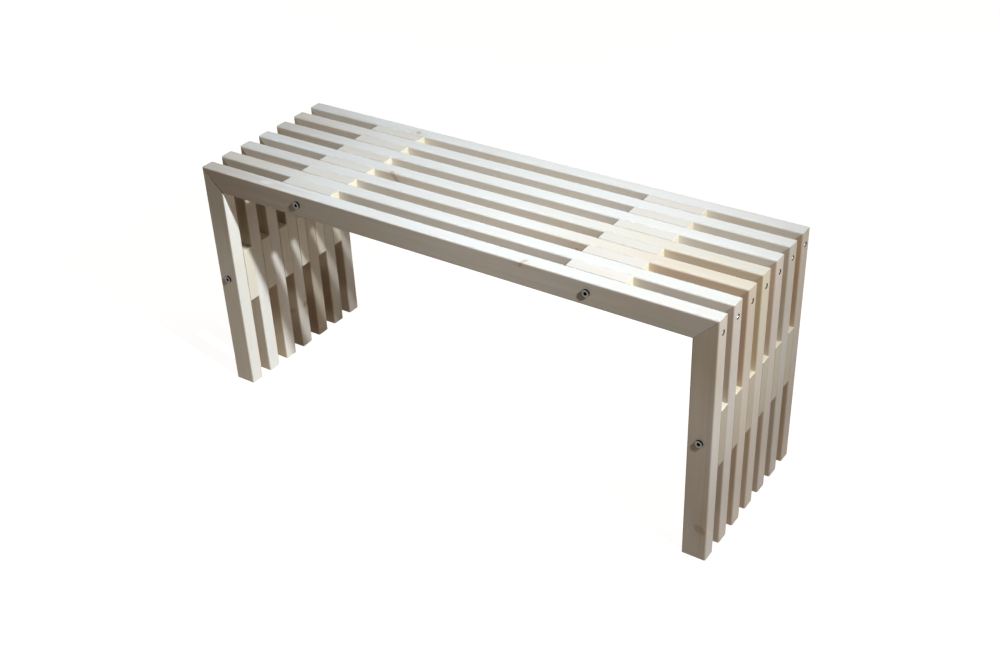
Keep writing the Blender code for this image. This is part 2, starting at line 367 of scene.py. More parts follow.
def new_group(name, tree_type, inputs, outputs):
    """A node group, its inputs as values and the sockets that its outputs go to."""
    group = bpy.data.node_groups.new(name, tree_type)
    for in_out, labels in (("INPUT", inputs), ("OUTPUT", outputs)):
        for label, kind in labels.items():
            group.interface.new_socket(label, in_out=in_out, socket_type="NodeSocket" + kind)
    entry = group.nodes.new("NodeGroupInput")
    leave = group.nodes.new("NodeGroupOutput")
    return group, {label: Value(entry.outputs[label]) for label in inputs}, leave.inputs


def use_group(tree, group, inputs):
    return [Value(part) for part in add_node(tree, "ShaderNodeGroup", inputs, node_tree=group).outputs]


def attribute(tree, name, output="Vector"):
    return put(tree, "ShaderNodeAttribute", output=output, attribute_name=name)


def new_material(name):
    """A material's node tree and its shader."""
    material = bpy.data.materials.new(name)
    material.use_nodes = True
    return material.node_tree, material.node_tree.nodes["Principled BSDF"]


# Shader node groups

# Least radius of a knot, under which a board has none, and the least that distances are divided by
LEAST_KNOT, LEAST_REACH = 0.0003, 0.0001


def knot_group():
    """A branch that runs out from the pith, leaning along it, and the grain that flows round it.

    Knot holds the branch's place along the grain, its direction round the pith and its radius.
    """
    inputs = sockets(Vector="Grain, Knot", Float="Lean")
    outputs = sockets(Vector="Grain", Float="Heart, Rim, Stain")
    tree, given, result = new_group("Knot", "ShaderNodeTree", inputs, outputs)
    along, y, z = split(given["Grain"])
    place, turn, radius = split(given["Knot"])
    cosine, sine = maths("COSINE", turn), maths("SINE", turn)
    out = y * cosine + z * sine
    aside = z * cosine - y * sine
    there = maths("GREATER_THAN", out, 0.0) * maths("GREATER_THAN", radius, LEAST_KNOT)

    # Distances count in radii of the branch.
    reach = maths("MAXIMUM", radius, LEAST_REACH)
    ahead = (along - (out * given["Lean"] + place)) / reach
    across = aside / reach
    ripple = noise(join(ahead, across, out), (0.9, 0.9, 40.0), place, 3.0)
    square = ahead * ahead + across * across
    distance = maths("SQRT", square) + spread(ripple, -0.35, 0.35)
    trail = maths("SQRT", across * across + square * 0.06)

    # The grain parts in front of the branch and closes behind it.
    turned = aside * (1.0 - there / maths("MAXIMUM", square, 1.0))
    parted = join(along, out * cosine - turned * sine, out * sine + turned * cosine)
    marks = {
        "Grain": parted,
        "Heart": ease(distance, 0.75, 1.05, 1.0, 0.0) * there,
        "Rim": ease(distance, 0.7, 1.0) * ease(distance, 1.0, 1.3, 1.0, 0.0) * there,
        "Stain": ease(trail, 0.4, 1.8, 1.0, 0.0) * there,
    }
    send(result, marks)
    return tree


def figure_group():
    """Growth rings round the pith, the fibres along them and the broad streaks of light and dark wood."""
    inputs = sockets(Vector="Grain", Float="Seed, Ring Spacing, Waviness")
    outputs = sockets(Float="Latewood, Fibre, Streak")
    tree, given, result = new_group("Pine figure", "ShaderNodeTree", inputs, outputs)
    grain, seed = given["Grain"], given["Seed"]
    wander = spread(noise(grain, (3.0, 16.0, 16.0), seed), -1.0, 1.0)
    _, y, z = split(grain)
    radius = maths("SQRT", y * y + z * z) + wander * given["Waviness"]
    uneven = noise(join(radius, seed, 0.0), (70.0, 1.0, 1.0), seed)
    rings = radius / given["Ring Spacing"] + spread(uneven, -1.6, 1.6)
    year = maths("FLOOR", rings)
    season = rings - year
    dark = ease(season, 0.35, 0.9) * ease(season, 0.93, 1.0, 1.0, 0.0)
    luck = put(tree, "ShaderNodeTexWhiteNoise", {"W": year + seed}, noise_dimensions="1D")
    marks = {
        "Latewood": dark * spread(luck, 0.35, 1.0),
        "Fibre": noise(grain, (45.0, 1300.0, 1300.0), seed, 3.0),
        "Streak": noise(grain, (2.5, 90.0, 90.0), seed, 3.0),
    }
    send(result, marks)
    return tree


def arris_group():
    """How near a point of a stick is to one of its long edges, broken up as wear is."""
    inputs = sockets(Vector="Stick", Float="Seed, Half Thickness, Half Width, Reach")
    tree, given, result = new_group("Arris wear", "ShaderNodeTree", inputs, sockets(Float="Wear"))
    _, y, z = split(given["Stick"])
    from_side = given["Half Thickness"] - maths("ABSOLUTE", y)
    from_top = given["Half Width"] - maths("ABSOLUTE", z)
    near = ease(maths("MAXIMUM", from_side, from_top) / given["Reach"], 0.0, 1.0, 1.0, 0.0)
    patches = noise(given["Stick"], (30.0, 260.0, 260.0), given["Seed"], 3.0)
    send(result, {"Wear": near * ease(patches, 0.42, 0.62)})
    return tree


def plating_group():
    """Mottle and fine scratches of plated steel."""
    inputs = sockets(Vector="Place", Float="Seed")
    outputs = sockets(Float="Mottle, Scratch")
    tree, given, result = new_group("Plated steel", "ShaderNodeTree", inputs, outputs)
    place, seed = given["Place"], given["Seed"]
    send(result, {"Mottle": noise(place, (420.0, 420.0, 420.0), seed, 3.0)})
    send(result, {"Scratch": noise(place, (900.0, 5200.0, 900.0), seed, 2.0)})
    return tree


# Materials

# Width of a growth ring, how far rings wander on planed faces and on sawn ends, and how far edges are worn
RING_SPACING = 0.0036
PLANED_WAVINESS, SAWN_WAVINESS = 0.0022, 0.0012
WEAR_REACH = 0.0022

# How far along a board, from -1 at its start to 1 at its end, its tints change over
TONE_SPANS = (-0.97, -0.50), (0.0, 0.85)
SIDE_TONE_SPANS = (-0.7, 0.3), (0.1, 0.8)
# Stretch of the painted highlight spot, where a board's tints are left off
HIGHLIGHT_STRETCH = (75.0, 170.0, 170.0)
PLATING_SEED = 3.0


def opaque(rgb):
    return (*rgb, 1.0)


def scaled(rgb, *levels):
    return tuple(part * level for part, level in zip(rgb, levels))


def bump(shader, height, strength, distance):
    inputs = {"Strength": strength, "Distance": distance, "Height": height}
    send(shader.inputs, {"Normal": put(height.tree, "ShaderNodeBump", inputs)})


def tone_along(run, name, start_span, end_span):
    """Tint shares along a board: those of its start, then of its middle, then of its end."""
    start, middle, end = [attribute(run.tree, f"{name}_{number}") for number in (1, 2, 3)]
    tone = blend_vectors(ease(run, *start_span), start, middle)
    return blend_vectors(ease(run, *end_span), tone, end)


def pine_figure(groups, grain, seed, waviness):
    inputs = {"Grain": grain, "Seed": seed, "Ring Spacing": RING_SPACING, "Waviness": waviness}
    return use_group(grain.tree, groups["figure"], inputs)


def limed_pine(name, finish, edge_wash, side_wash, half_thickness, groups):
    """Planed pine under a thin pale wash that hard rings, fibres and worn edges show through."""
    tree, shader = new_material(name)
    stick = attribute(tree, "stick")
    seed = attribute(tree, "seed", "Fac")
    along, across, _ = split(stick)
    knot_inputs = {
        "Grain": attribute(tree, "grain"),
        "Knot": attribute(tree, "knot", "Color"),
        "Lean": attribute(tree, "knot", "Alpha"),
    }
    knotted, heart, rim, stain = use_group(tree, groups["knot"], knot_inputs)
    latewood, fibre, streak = pine_figure(groups, knotted, seed, PLANED_WAVINESS)
    arris_inputs = {
        "Stick": stick,
        "Seed": seed,
        "Half Thickness": half_thickness,
        "Half Width": SLAT_WIDTH / 2,
        "Reach": WEAR_REACH,
    }
    [wear] = use_group(tree, groups["arris"], arris_inputs)

    # The wash lies thicker on the edges than on the sides, and unevenly where it was brushed out.
    sideways = ease(maths("ABSOLUTE", across) / half_thickness, 0.92, 0.995)
    cover = spread(sideways, edge_wash, side_wash)
    brushed = noise(stick, (7.0, 60.0, 60.0), seed, 3.0)
    for pattern, amount in ((brushed, 0.12), (streak, 0.12), (fibre, 0.10)):
        cover = cover + spread(pattern, -amount, amount)
    for bare, amount in ((latewood, 0.08), (wear, 0.12), (stain, 0.15)):
        cover = cover - bare * amount
    wood = blend(latewood, opaque(finish.wood), opaque(finish.latewood))
    surface = blend(spread(cover, 0.0, 1.0), wood, opaque(finish.lime))

    # Tints along the board, its own tone with much painted shade, left off in one spot as a painted
    # highlight, and more of them on its sides
    run = along / attribute(tree, "half", "Fac") + spread(streak, -0.25, 0.25)
    from_highlight = vector_maths("SUBTRACT", stick, attribute(tree, "patch"))
    from_highlight = vector_maths("MULTIPLY", from_highlight, HIGHLIGHT_STRETCH)
    ragged = noise(stick, (90.0, 240.0, 240.0), seed, 2.0)
    edge = vector_maths("LENGTH", from_highlight, output="Value") + spread(ragged, -0.4, 0.4)
    tone = tone_along(run, "tone", *TONE_SPANS)
    side_tone = tone_along(run, "side_tone", *SIDE_TONE_SPANS)
    for shares, place in ((tone, ease(edge, 0.7, 1.1)), (side_tone, sideways)):
        for amount, tint in zip(split(shares), (finish.cream, finish.rose, finish.shade)):
            surface = blend(amount * place, surface, opaque(tint), "MULTIPLY")

    # Faint blooms of warmer wood, then the knot
    for tint, offset in ((finish.cream, 0.0), (finish.rose, 7.0)):
        bloom = noise(stick, (16.0, 60.0, 60.0), seed + offset, 3.0)
        surface = blend(ease(bloom, 0.45, 0.72, 0.0, 0.24), surface, opaque(tint), "MULTIPLY")
    for part, amount in ((heart, 0.42), (rim, 0.24)):
        surface = blend(part * amount, surface, opaque(finish.knot), "MULTIPLY")

    send(shader.inputs, {"Base Color": surface, "Roughness": fibre * 0.22 + 0.50 - latewood * 0.08})
    bump(shader, fibre * 0.65 + latewood * 0.18 + heart * 0.6, 0.35, 0.00025)


def sawn_pine(name, rgb, groups):
    """Bare end grain: the growth rings in section, crossed by the marks of the saw."""
    tree, shader = new_material(name)
    seed = attribute(tree, "seed", "Fac")
    latewood, fibre, _ = pine_figure(groups, attribute(tree, "grain"), seed, SAWN_WAVINESS)
    marks = noise(attribute(tree, "stick"), (900.0, 60.0, 1400.0), seed, 2.0)
    ring = scaled(rgb, 0.86, 0.78, 0.68)
    surface = blend(latewood, opaque(rgb), opaque(ring))
    surface = blend(spread(fibre, 0.0, 0.25), surface, opaque(ring))
    surface = blend(spread(marks, 0.0, 0.22), surface, (0.82, 0.78, 0.72, 1.0), "MULTIPLY")
    send(shader.inputs, {"Base Color": surface, "Roughness": marks * 0.2 + 0.66})
    bump(shader, marks * 0.6 + latewood * 0.4, 0.5, 0.0003)


def plated_steel(name, rgb, groups):
    """Zinc plating with a soft mottle."""
    tree, shader = new_material(name)
    place = put(tree, "ShaderNodeTexCoord", output="Object")
    mottle, scratch = use_group(tree, groups["plating"], {"Place": place, "Seed": PLATING_SEED})
    dull = scaled(rgb, 0.62, 0.62, 0.62)
    surface = blend(ease(mottle, 0.35, 0.7), opaque(rgb), opaque(dull))
    rough = spread(mottle, 0.26, 0.42) + spread(scratch, -0.05, 0.08)
    shader.inputs["Metallic"].default_value = 1.0
    send(shader.inputs, {"Base Color": surface, "Roughness": rough})
    bump(shader, scratch, 0.12, 0.00008)


def bench_materials(finish):
    """Makes the materials once, and gives all materials by name."""
    if "limed_pine" not in bpy.data.materials:
        groups = {
            "knot": knot_group(),
            "figure": figure_group(),
            "arris": arris_group(),
            "plating": plating_group(),
        }
        wash = finish.spacer_wash
        limed_pine("limed_pine", finish, finish.edge_wash, finish.side_wash, SLAT_THICKNESS / 2, groups)
        limed_pine("limed_spacer", finish, wash, wash, FRAME_SPACE / 2, groups)
        # The near-black end colour is painted shade in holes and the opened mitre; the lighter one is painted
        # light on the leg spacers' ends.
        ends = {"sawn_pine": finish.sawn, "fresh_pine": finish.painted_light_sawn, "bored_pine": finish.painted_hollow_shade}
        for name, rgb in ends.items():
            sawn_pine(name, rgb, groups)
        # The black steel is painted shade and painted dark reflection; the zinc is darkened as painted
        # reflection too.
        steels = {"zinc": finish.zinc, "socket_steel": finish.socket, "screw_zinc": finish.screw}
        for name, rgb in steels.items():
            plated_steel(name, rgb, groups)
    return bpy.data.materials


# Geometry node trees

# Faces whose normal has more than this along the stick are its ends.
ENDWISE = 0.6

# Share of its radius that a screw's point ends in, and the least length of a point to divide by
BLUNT_TIP, LEAST_POINT = 0.08, 0.00001


def new_geometry_group(name, inputs):
    return new_group(name, "GeometryNodeTree", inputs, sockets(Geometry="Geometry"))


def moved(mesh, **offset_or_position):
    return put(mesh.tree, "GeometryNodeSetPosition", {"Geometry": mesh, **offset_or_position})


def smooth(mesh):
    return put(mesh.tree, "GeometryNodeSetShadeSmooth", {"Geometry": mesh, "Shade Smooth": True})


def realized(mesh, material):
    mesh = put(mesh.tree, "GeometryNodeRealizeInstances", {"Geometry": mesh})
    return put(mesh.tree, "GeometryNodeSetMaterial", {"Geometry": mesh, "Material": material})


def stick_tree():
    """A planed stick along X with rounded edges. A mitre leaves its upper side the longer."""
    ends = "Start Round, End Round, Start Trim, End Trim, Start Mitre, End Mitre"
    inputs = sockets(
        Float="Length, Thickness, Width, Arris Round, " + ends,
        Int="Arris Segments",
        Material="Face, Start Face, End Face",
    )
    tree, given, result = new_geometry_group("Timber stick", inputs)
    thickness, width = given["Thickness"], given["Width"]
    square = put(tree, "GeometryNodeCurvePrimitiveQuadrilateral", {"Width": thickness, "Height": width})
    fillet_inputs = {
        "Curve": square,
        "Count": given["Arris Segments"],
        "Radius": given["Arris Round"],
        "Limit Radius": True,
    }
    section = put(tree, "GeometryNodeFilletCurve", fillet_inputs, mode="POLY")

    # Rings of points at each end, from the end face to where its rounded rim is full.
    line = put(tree, "GeometryNodeCurvePrimitiveLine", {"Start": (-1, 0, 0), "End": (1, 0, 0)})
    line = put(tree, "GeometryNodeResampleCurve", {"Curve": line, "Count": 2 * END_RINGS})
    index = put(tree, "GeometryNodeInputIndex")
    at_end = maths("GREATER_THAN", index, END_RINGS - 0.5)
    ring = maths("MINIMUM", index, 2 * END_RINGS - 1 - index)
    turn = ring * (math.pi / 2 / (END_RINGS - 1))
    rim = spread(at_end, given["Start Round"], given["End Round"])
    inset = rim * (1.0 - maths("SINE", turn))
    setback = rim * (1.0 - maths("COSINE", turn))
    setback = setback + spread(at_end, given["Start Trim"], given["End Trim"])
    x = spread(at_end, -1.0, 1.0) * (given["Length"] * 0.5 - setback)
    capture = add_node(tree, "GeometryNodeCaptureAttribute")
    capture.capture_items.new("FLOAT", "Inset")
    send(capture.inputs, {"Geometry": line, "Inset": inset})
    line = moved(Value(capture.outputs["Geometry"]), Position=join(x, 0.0, 0.0))
    tube_inputs = {"Curve": line, "Profile Curve": section, "Fill Caps": True}
    mesh = put(tree, "GeometryNodeCurveToMesh", tube_inputs)

    # Draw the end rings in, then slant the mitred ends.
    place = put(tree, "GeometryNodeInputPosition")
    drawn = Value(capture.outputs["Inset"]) * -2.0
    shrink = join(1.0, drawn / thickness + 1.0, drawn / width + 1.0)
    mesh = moved(mesh, Position=vector_maths("MULTIPLY", place, shrink))
    along, _, height = split(place)
    below_top = width * 0.5 - height
    start_slant = given["Start Mitre"] * below_top
    end_slant = given["End Mitre"] * below_top * -1.0
    slant = spread(maths("GREATER_THAN", along, 0.0), start_slant, end_slant)
    mesh = realized(smooth(moved(mesh, Offset=join(slant, 0.0, 0.0))), given["Face"])
    facing, _, _ = split(put(tree, "GeometryNodeInputNormal"))
    for end, way in (("Start Face", -1.0), ("End Face", 1.0)):
        endwise = maths("GREATER_THAN", facing * way, ENDWISE)
        end_inputs = {"Geometry": mesh, "Selection": endwise, "Material": given[end]}
        mesh = put(tree, "GeometryNodeSetMaterial", end_inputs)
    send(result, {"Geometry": mesh})
    return tree


def thread_tree():
    """A threaded bar along Z, with a V thread that fades out into its ends."""
    inputs = sockets(Float="Radius, Depth, Pitch, Length, Point", Int="Sides", Material="Material")
    tree, given, result = new_geometry_group("Thread", inputs)
    depth, pitch, length = given["Depth"], given["Pitch"], given["Length"]
    bar_inputs = {
        "Vertices": given["Sides"],
        "Side Segments": length / pitch * RINGS_PER_PITCH,
        "Radius": given["Radius"],
        "Depth": length,
    }
    bar = put(tree, "GeometryNodeMeshCylinder", bar_inputs, fill_type="NGON")
    x, y, z = split(put(tree, "GeometryNodeInputPosition"))
    turn = maths("ARCTAN2", y, x)
    flank = maths("PINGPONG", z / pitch - turn / math.tau, 0.5)
    groove = depth * (1.0 - flank * 2.0)
    half = length * 0.5
    chamfer = ease(half - maths("ABSOLUTE", z), 0.0, pitch, depth, 0.0)
    radius = given["Radius"] - maths("MAXIMUM", groove, chamfer)
    tip = (half + z) / maths("MAXIMUM", given["Point"], LEAST_POINT)
    radius = radius * maths("MINIMUM", 1.0, tip + BLUNT_TIP)
    threaded = join(radius * maths("COSINE", turn), radius * maths("SINE", turn), z)
    bar = smooth(moved(bar, Position=threaded))
    send(result, {"Geometry": realized(bar, given["Material"])})
    return tree


def screw_set_tree():
    """A screw in the outer face of every leg, each turned as far as it happened to go."""
    inputs = sockets(
        Object="Screw", Int="Count, Seed", Float="Pitch, Half Length, Height", Material="Material"
    )
    tree, given, result = new_geometry_group("Screw set", inputs)
    screw_inputs = {"Object": given["Screw"], "As Instance": True}
    screw = put(tree, "GeometryNodeObjectInfo", screw_inputs, "Geometry")
    first_y = (given["Count"] - 1.0) * given["Pitch"] * -0.5
    joined = add_node(tree, "GeometryNodeJoinGeometry")
    for number, (_, side) in enumerate(SIDES):
        line_inputs = {
            "Count": given["Count"],
            "Start Location": join(given["Half Length"] * side, first_y, given["Height"]),
            "Offset": join(0.0, given["Pitch"], 0.0),
        }
        row = put(tree, "GeometryNodeMeshLine", line_inputs)
        luck_inputs = {3: math.tau, "Seed": given["Seed"] + number}
        luck = put(tree, "FunctionNodeRandomValue", luck_inputs, 1)
        out_inputs = {"Axis": (0, 1, 0), "Angle": side * math.pi / 2}
        outward = put(tree, "FunctionNodeAxisAngleToRotation", out_inputs)
        driven = put(tree, "FunctionNodeAxisAngleToRotation", {"Axis": (0, 0, 1), "Angle": luck})
        turn_inputs = {"Rotation": outward, "Rotate By": driven}
        rotation = put(tree, "FunctionNodeRotateRotation", turn_inputs, rotation_space="LOCAL")
        screw_inputs = {"Points": row, "Instance": screw, "Rotation": rotation}
        send(joined.inputs, {0: put(tree, "GeometryNodeInstanceOnPoints", screw_inputs)})
    send(result, {"Geometry": realized(Value(joined.outputs[0]), given["Material"])})
    return tree


def tree_named(name, build):
    return bpy.data.node_groups.get(name) or build()


# Meshes


def new_object(name, mesh, place=Matrix.Identity(4)):
    made = bpy.data.objects.new(name, mesh)
    bpy.context.scene.collection.objects.link(made)
    made.matrix_world = place
    return made


def add_tree(obj, tree, inputs):
    """Puts a geometry node tree on an object, with its inputs set by their identifiers."""
    modifier = obj.modifiers.new(tree.name, "NODES")
    modifier.node_group = tree
    for item in tree.interface.items_tree:
        if item.in_out == "INPUT" and item.name in inputs:
            modifier[item.identifier] = inputs[item.name]
    return modifier


def plain_mesh(obj):
    """The object's mesh with its modifiers worked in."""
    mesh = bpy.data.meshes.new_from_object(obj.evaluated_get(bpy.context.evaluated_depsgraph_get()))
    mesh.name = obj.name
    return mesh


def work_in(objects):
    """Works the modifiers of several objects into their meshes."""
    meshes = [plain_mesh(obj) for obj in objects]
    for obj, mesh in zip(objects, meshes):
        obj.modifiers.clear()
        old = obj.data
        obj.data = mesh
        bpy.data.meshes.remove(old)


def put_in_place(obj):
    """Moves an object's place into its mesh."""
    obj.data.transform(obj.matrix_world)
    obj.matrix_world = Matrix.Identity(4)


def outward_mesh(name, shape):
    """Makes a shape a mesh whose faces look outwards."""
    bmesh.ops.recalc_face_normals(shape, faces=shape.faces)
    mesh = bpy.data.meshes.new(name)
    shape.to_mesh(mesh)
    shape.free()
    return mesh


def turned_mesh(name, profile, sides):
    """A piece turned about Z. Its half section starts and ends on the axis and runs from the top down."""
    shape = bmesh.new()
    outline = [shape.verts.new((radius, 0, height)) for radius, height in profile]
    edges = [shape.edges.new(pair) for pair in zip(outline, outline[1:])]
    bmesh.ops.spin(shape, geom=outline + edges, axis=(0, 0, 1), cent=(0, 0, 0), angle=math.tau, steps=sides)
    bmesh.ops.remove_doubles(shape, verts=shape.verts, dist=WELD_DISTANCE)
    return outward_mesh(name, shape)


def cut(obj, cutter):
    boolean = obj.modifiers.new(cutter.name, "BOOLEAN")
    boolean.operation = "DIFFERENCE"
    boolean.solver = "EXACT"
    boolean.material_mode = "TRANSFER"
    boolean.object = cutter


def remove_objects(objects):
    for obj in objects:
        mesh = obj.data
        bpy.data.objects.remove(obj)
        bpy.data.meshes.remove(mesh)


def soften(objects):
    """Shades rounded edges smooth, with normals that keep the flat faces flat."""
    for obj in objects:
        obj.data.shade_smooth()
        obj.data.set_sharp_from_angle(angle=SHARP_ANGLE)
        weighted = obj.modifiers.new("Flat faces", "WEIGHTED_NORMAL")
        weighted.keep_sharp = True
    work_in(objects)


def hand_over(obj, slot, *nodes):
    """Makes an object a piece of the bench, in place of the solids that it stands for."""
    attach(obj, BODY)
    if nodes:
        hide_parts(*nodes)


# Holes

# How far a cutter stands out of the wood
CUT_MARGIN = 0.004


def facing_out(face):
    """Turns +Z to point out of the front or the back."""
    return Matrix.Rotation(-face * math.pi / 2, 4, "X")


def new_cutter(name, profile, place, material):
    cutter = new_object(name, turned_mesh(name, profile, HOLE_SIDES), place)
    cutter.data.materials.append(material)
    cutter.hide_render = True
    return cutter


def straight_hole(name, place, diameter, reach, material):
    """A round hole that reaches equally far to both sides of its place."""
    radius = diameter / 2
    profile = [(0, reach), (radius, reach), (radius, -reach), (0, -reach)]
    return new_cutter(name, profile, place, material)


def rod_bore(row, steel, material):
    """The hole for a tie rod, through all the frames and spacers."""
    rod = f"tie_rod_{row}"
    place = Matrix.Translation(node_middle(rod)) @ facing_out(1)
    return straight_hole("bore_" + rod, place, steel.rod_bore, HALF_DEPTH + CUT_MARGIN, material)


def nut_place(nut, face, depth):
    """A place on the axis of a nut, as far from the middle of the bench as depth says."""
    middle = node_middle(nut)
    return Matrix.Translation((middle.x, face * depth, middle.z)) @ facing_out(face)


def sleeve_bore(nut, face, steel, material):
    """The hole for a nut's sleeve, through an outer frame."""
    half = SLAT_THICKNESS / 2
    place = nut_place(nut, face, HALF_DEPTH - half)
    return straight_hole("bore_" + nut, place, steel.sleeve_bore, half + CUT_MARGIN, material)


def row_holes(row, steel, material):
    """The holes along a tie rod, frame by frame: those in the outer frames take the nuts' sleeves."""
    bore = rod_bore(row, steel, material)
    front, back = [sleeve_bore(f"{name}_nut_{row}", face, steel, material) for name, face in FACES]
    return [front] + [bore] * (FRAME_COUNT - 2) + [back]


def screw_hole(leg, side, steel, material):
    """Head, shank and pilot of a corner screw's hole, from the leg's outer face inwards."""
    mouth = Vector((side * HALF_LENGTH, node_middle(leg).y, SEAT_HEIGHT - steel.screw_drop))
    head, shank, pilot = steel.screw_hole / 2, steel.screw_shank_hole / 2, steel.screw_pilot / 2
    profile = [
        (0, CUT_MARGIN),
        (head, CUT_MARGIN),
        (head, -steel.screw_hole_depth),
        (shank, -steel.screw_hole_depth),
        (shank, -steel.screw_drop),
        (pilot, -steel.screw_drop),
        (pilot, -steel.screw_pilot_depth),
        (0, -steel.screw_pilot_depth),
    ]
    place = Matrix.Translation(mouth) @ Matrix.Rotation(side * math.pi / 2, 4, "Y")
    return new_cutter("hole_" + leg, profile, place, material)


# Boards

# A stick's own X runs along its grain, and its own +Z is the outer, longer side of its mitres.
LYING = Matrix.Identity(3)
STANDING = {
    "left": Matrix(((0, 0, -1), (0, 1, 0), (1, 0, 0))),
    "right": Matrix(((0, 0, 1), (0, -1, 0), (1, 0, 0))),
}

# Tints of single boards, as shares of cream, rose and shade where a board starts, in its middle and where it
# ends.
# Slats start at the left and legs at the foot. They were fitted to how each board looks under these lamps, so
# beside the boards' own tone they hold painted shade: the shade shares darken the slats' ends, the left end
# of the front slat, the tops of the right legs and right leg spacers, and the shaded parts of the left legs.
Tint = namedtuple("Tint", "start middle end")
BARE = (0.0, 0.0, 0.0)


def even(shares):
    return Tint(shares, shares, shares)


TINTS = {
    "seat_slat_1": Tint((0.10, 0.40, 0.58), BARE, (0.0, 0.0, 0.38)),
    "seat_slat_2": Tint((0.30, 0.10, 0.28), BARE, (0.05, 0.0, 0.33)),
    "seat_slat_3": Tint((0.0, 0.08, 0.14), BARE, (0.50, 0.48, 0.40)),
    "seat_slat_4": Tint((0.0, 0.0, 0.06), BARE, (0.42, 0.12, 0.36)),
    "seat_slat_5": Tint((0.20, 0.10, 0.45), BARE, (0.0, 0.0, 0.15)),
    "seat_slat_6": Tint((0.15, 0.28, 0.29), BARE, (0.0, 0.0, 0.14)),
    "seat_slat_7": Tint((0.0, 0.0, 0.22), BARE, (0.0, 0.0, 0.12)),
    "left_leg_1": even((0.18, 0.06, 0.0)),
    "left_leg_2": Tint((0.08, 0.05, 0.0), (0.12, 0.06, 0.0), (0.30, 0.10, 0.78)),
    "left_leg_3": Tint((0.10, 0.05, 0.0), (0.15, 0.08, 0.06), (0.30, 0.10, 0.64)),
    "left_leg_4": Tint((0.25, 0.08, 0.0), (0.30, 0.10, 0.28), (0.30, 0.10, 0.36)),
    "left_leg_5": Tint((0.50, 0.30, 0.90), (0.45, 0.25, 0.75), (0.20, 0.10, 0.10)),
    "left_leg_6": Tint((0.30, 0.20, 0.88), (0.25, 0.15, 0.60), (0.20, 0.10, 0.0)),
    "left_leg_7": Tint((0.30, 0.20, 0.52), (0.25, 0.15, 0.40), (0.20, 0.10, 0.0)),
    "right_leg_1": Tint((0.0, 0.05, 0.05), (0.20, 0.15, 0.43), (0.30, 0.20, 0.92)),
    "right_leg_2": Tint((0.10, 0.20, 0.05), (0.15, 0.25, 0.46), (0.15, 0.25, 0.81)),
    "right_leg_3": Tint((0.20, 0.30, 0.05), (0.40, 0.45, 0.39), (0.52, 0.48, 0.82)),
    "right_leg_4": Tint((0.20, 0.20, 0.05), (0.40, 0.30, 0.28), (0.90, 0.15, 0.54)),
    "right_leg_5": Tint((0.10, 0.25, 0.0), (0.25, 0.40, 0.36), (0.20, 0.65, 0.56)),
    "right_leg_6": Tint((0.15, 0.12, 0.06), (0.20, 0.10, 0.36), (0.35, 0.05, 0.74)),
    "right_leg_7": Tint((0.30, 0.30, 0.04), (0.35, 0.25, 0.47), (0.45, 0.30, 0.72)),
    "leg_spacer_right_1": even((0.48, 0.05, 0.92)),
    "leg_spacer_right_2": even((0.50, 0.05, 0.82)),
    "leg_spacer_right_3": even((0.60, 0.05, 0.72)),
    "leg_spacer_right_4": even((0.52, 0.05, 0.63)),
}

# Tints of the other boards of a row; their shade shares are painted shade too
ROW_TINTS = {
    "seat_spacer_left": (0.05, 0.0, 0.04),
    "seat_spacer_right": (0.05, 0.0, 0.20),
    "leg_spacer_left": (0.35, 0.05, 0.0),
    "leg_spacer_right": (0.50, 0.03, 0.50),
    "left_leg": (0.25, 0.08, 0.0),
}

# More of the same on the wide sides: painted shade on the outer sides of the front slat and front legs and on
# the left legs' sides between the legs, and warmer tone on the right legs' sides
SIDE_TINTS = {
    "seat_slat_1": Tint((0.0, 0.0, 1.0), (0.0, 0.0, 0.42), (0.0, 0.0, 0.69)),
    "seat_slat_3": Tint(BARE, (0.0, 0.25, 0.0), (0.05, 0.40, 0.10)),
    "seat_slat_4": Tint(BARE, BARE, (0.28, 0.10, 0.02)),
    "seat_slat_7": Tint(BARE, BARE, (0.12, 0.08, 0.0)),
    "left_leg_1": Tint(BARE, (0.0, 0.0, 0.15), (0.0, 0.0, 0.95)),
    "left_leg_2": Tint((0.20, 0.10, 0.10), (0.50, 0.20, 0.25), (1.0, 0.50, 0.55)),
    "left_leg_3": Tint((0.50, 0.20, 0.05), (0.60, 0.30, 0.20), (1.0, 0.50, 0.80)),
    "left_leg_4": Tint((0.30, 0.20, 0.50), (0.40, 0.30, 0.55), (0.60, 0.30, 0.80)),
    "left_leg_5": Tint((0.50, 0.30, 0.30), (0.50, 0.30, 0.40), (0.50, 0.30, 0.60)),
    "left_leg_6": Tint((0.50, 0.30, 0.35), (0.50, 0.30, 0.45), (0.50, 0.30, 0.60)),
    "left_leg_7": Tint((0.60, 0.10, 0.35), (0.60, 0.10, 0.50), (0.50, 0.20, 0.45)),
    "right_leg_1": Tint(BARE, (0.0, 0.0, 0.09), (0.0, 0.0, 0.40)),
    "right_leg_2": Tint(BARE, (0.10, 0.25, 0.0), (0.10, 0.35, 0.0)),
    "right_leg_3": Tint((0.20, 0.30, 0.0), (0.25, 0.60, 0.0), (0.25, 0.75, 0.06)),
    "right_leg_4": Tint((0.30, 0.0, 0.0), (0.50, 0.0, 0.0), (0.60, 0.0, 0.05)),
    "right_leg_5": Tint(BARE, (0.15, 0.18, 0.0), (0.20, 0.22, 0.0)),
    "right_leg_6": Tint(BARE, (0.20, 0.0, 0.0), (0.20, 0.05, 0.0)),
    "right_leg_7": Tint((0.30, 0.20, 0.0), (0.60, 0.70, 0.0), (0.70, 0.90, 0.0)),
}

# Most of each tint that a board without its own tints gets over those of its row
PLAIN_TINT = 0.12

